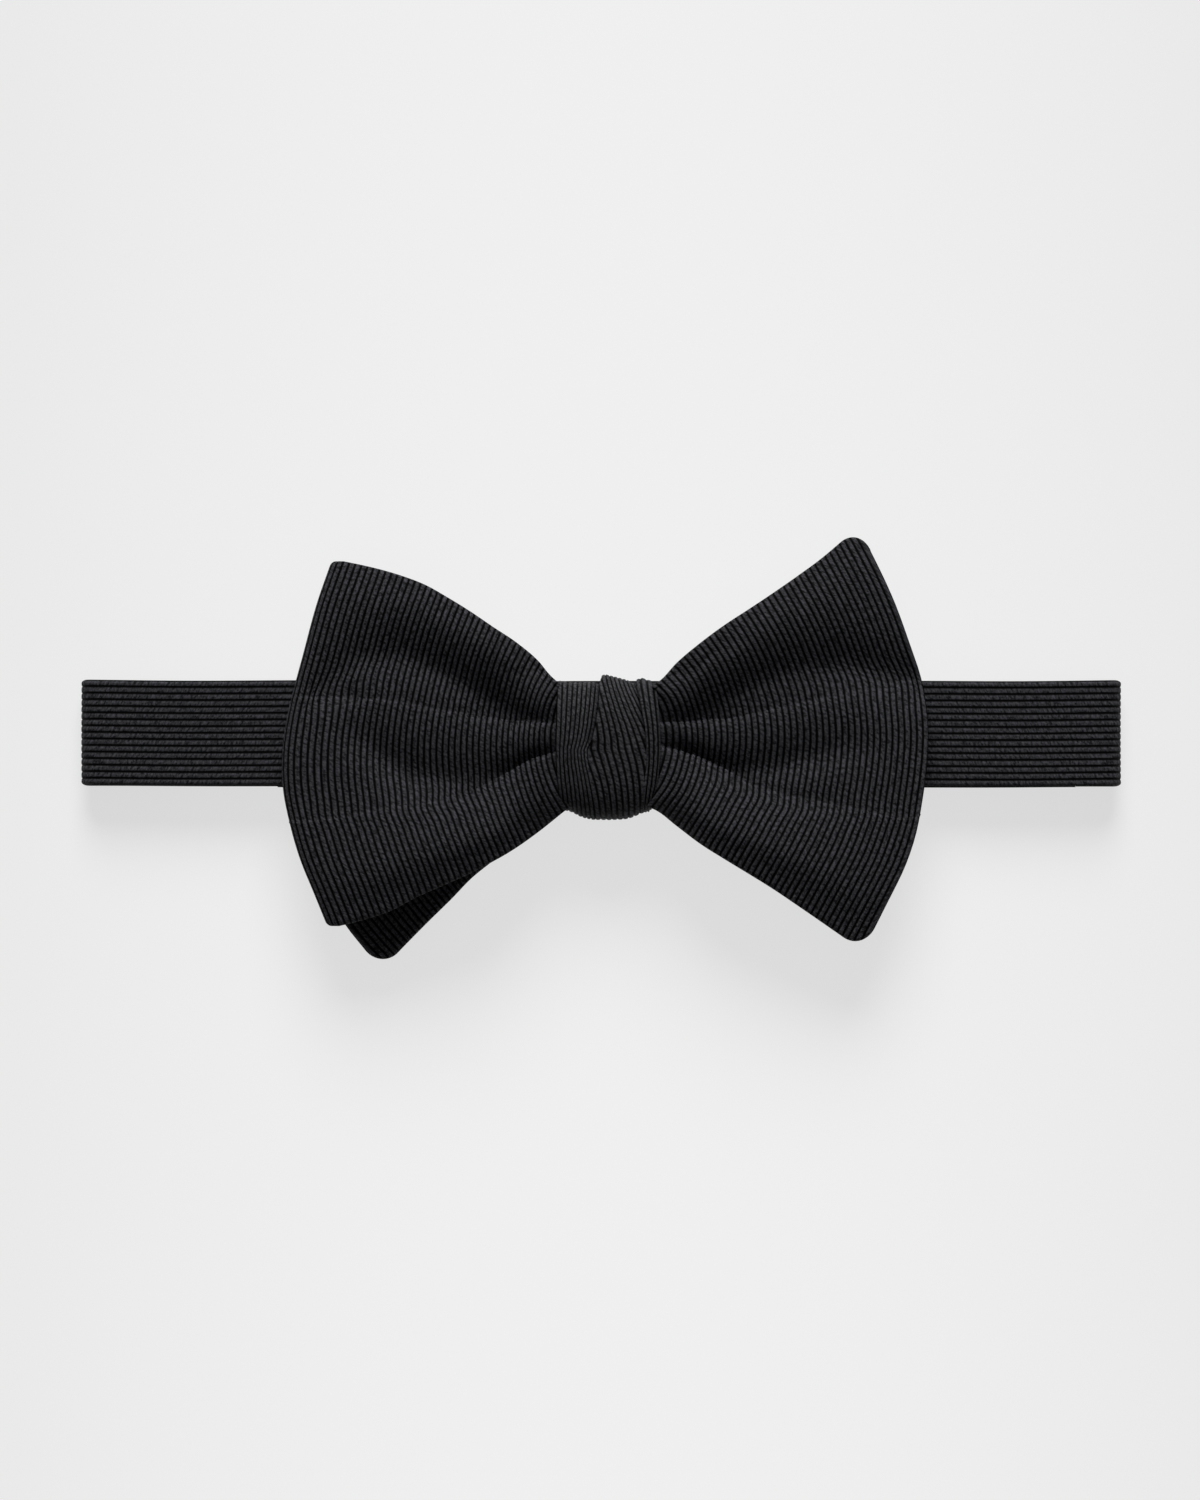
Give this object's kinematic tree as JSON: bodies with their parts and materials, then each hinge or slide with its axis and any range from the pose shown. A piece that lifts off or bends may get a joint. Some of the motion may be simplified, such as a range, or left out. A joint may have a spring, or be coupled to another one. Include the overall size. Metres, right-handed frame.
{
  "type": "bow tie",
  "caption": "Ribbed silk butterfly bow tie with a tied look, on a hook-and-eye neckband with a slide adjuster, folded flat.",
  "frame": {"origin": "on the surface that the tie lies on, under the middle of the knot and on the neckband's middle line", "axes": "+X along the neckband towards the adjuster side, the right side of the tie as seen from its front; +Y up as worn; +Z out of the front of the bow, away from the surface"},
  "size_m": [0.198, 0.0814, 0.0204],
  "materials": {
    "bow_silk": "ribbed silk, ribs across the bow",
    "knot_silk": "ribbed silk, ribs down the knot",
    "band_silk": "ribbed silk, ribs along the band",
    "interlining": "plain woven canvas, dyed dark",
    "thread": "polyester sewing thread",
    "tab_satin": "woven satin",
    "nickel": "nickel plate, polished"
  },
  "bodies": {
    "bow": {"front_blade_face": "bow_silk", "front_blade_interlining": "interlining", "front_blade_lining": "bow_silk", "rear_blade_face": "bow_silk", "rear_blade_interlining": "interlining", "rear_blade_lining": "bow_silk", "knot_wrap": "knot_silk", "knot_wrap_interlining": "interlining", "knot_stitching": "thread", "neckband_front_run": "band_silk", "neckband_interlining": "interlining", "left_fold": "band_silk", "right_fold": "band_silk"},
    "hook_strap": {"hook_strap_rear_run": "band_silk", "hook_hem_stitching": "thread", "size_tab": "tab_satin"},
    "hook": {"hook": "nickel"},
    "adjuster_strap": {"adjuster_strap_rear_run": "band_silk"},
    "slide": {"slide_frame": "nickel", "slide_pin": "nickel", "adjuster_strap_weave": "band_silk", "adjuster_strap_hem": "band_silk", "adjuster_strap_lower_run": "band_silk", "adjuster_strap_upper_run": "band_silk"},
    "strap_turn": {"adjuster_strap_turn": "band_silk"},
    "eye": {"eye": "nickel"}
  },
  "joints": [
    {"name": "hook_strap_swing", "type": "hinge", "parent": "bow", "child": "hook_strap", "pos_m": [-0.1007, 0, 0.0043], "axis": [0, 1, 0], "range_deg": [0, 180], "deforming": ["left_fold"]},
    {"name": "hook_swivel", "type": "hinge", "parent": "hook_strap", "child": "hook", "pos_m": [-0.05, 0, 0.00175], "axis": [0, -1, 0], "range_deg": [-75, 6]},
    {"name": "adjuster_strap_swing", "type": "hinge", "parent": "bow", "child": "adjuster_strap", "pos_m": [0.0999, 0, 0.0043], "axis": [0, -1, 0], "range_deg": [0, 180], "deforming": ["right_fold"]},
    {"name": "slide_travel", "type": "slide", "parent": "adjuster_strap", "child": "slide", "axis": [1, 0, 0], "range_m": [-0.008, 0.026], "deforming": ["adjuster_strap_rear_run"]},
    {"name": "eye_travel", "type": "slide", "parent": "slide", "child": "strap_turn", "axis": [1, 0, 0], "range_m": [-0.013, 0.004], "deforming": ["adjuster_strap_lower_run", "adjuster_strap_upper_run"]},
    {"name": "eye_swivel", "type": "hinge", "parent": "strap_turn", "child": "eye", "pos_m": [-0.0122, 0, 0.00175], "axis": [0, 1, 0], "range_deg": [-75, 20]}
  ],
  "couplings": [
    {"joint": "eye_travel", "follows": "slide_travel", "ratio": -0.5}
  ]
}
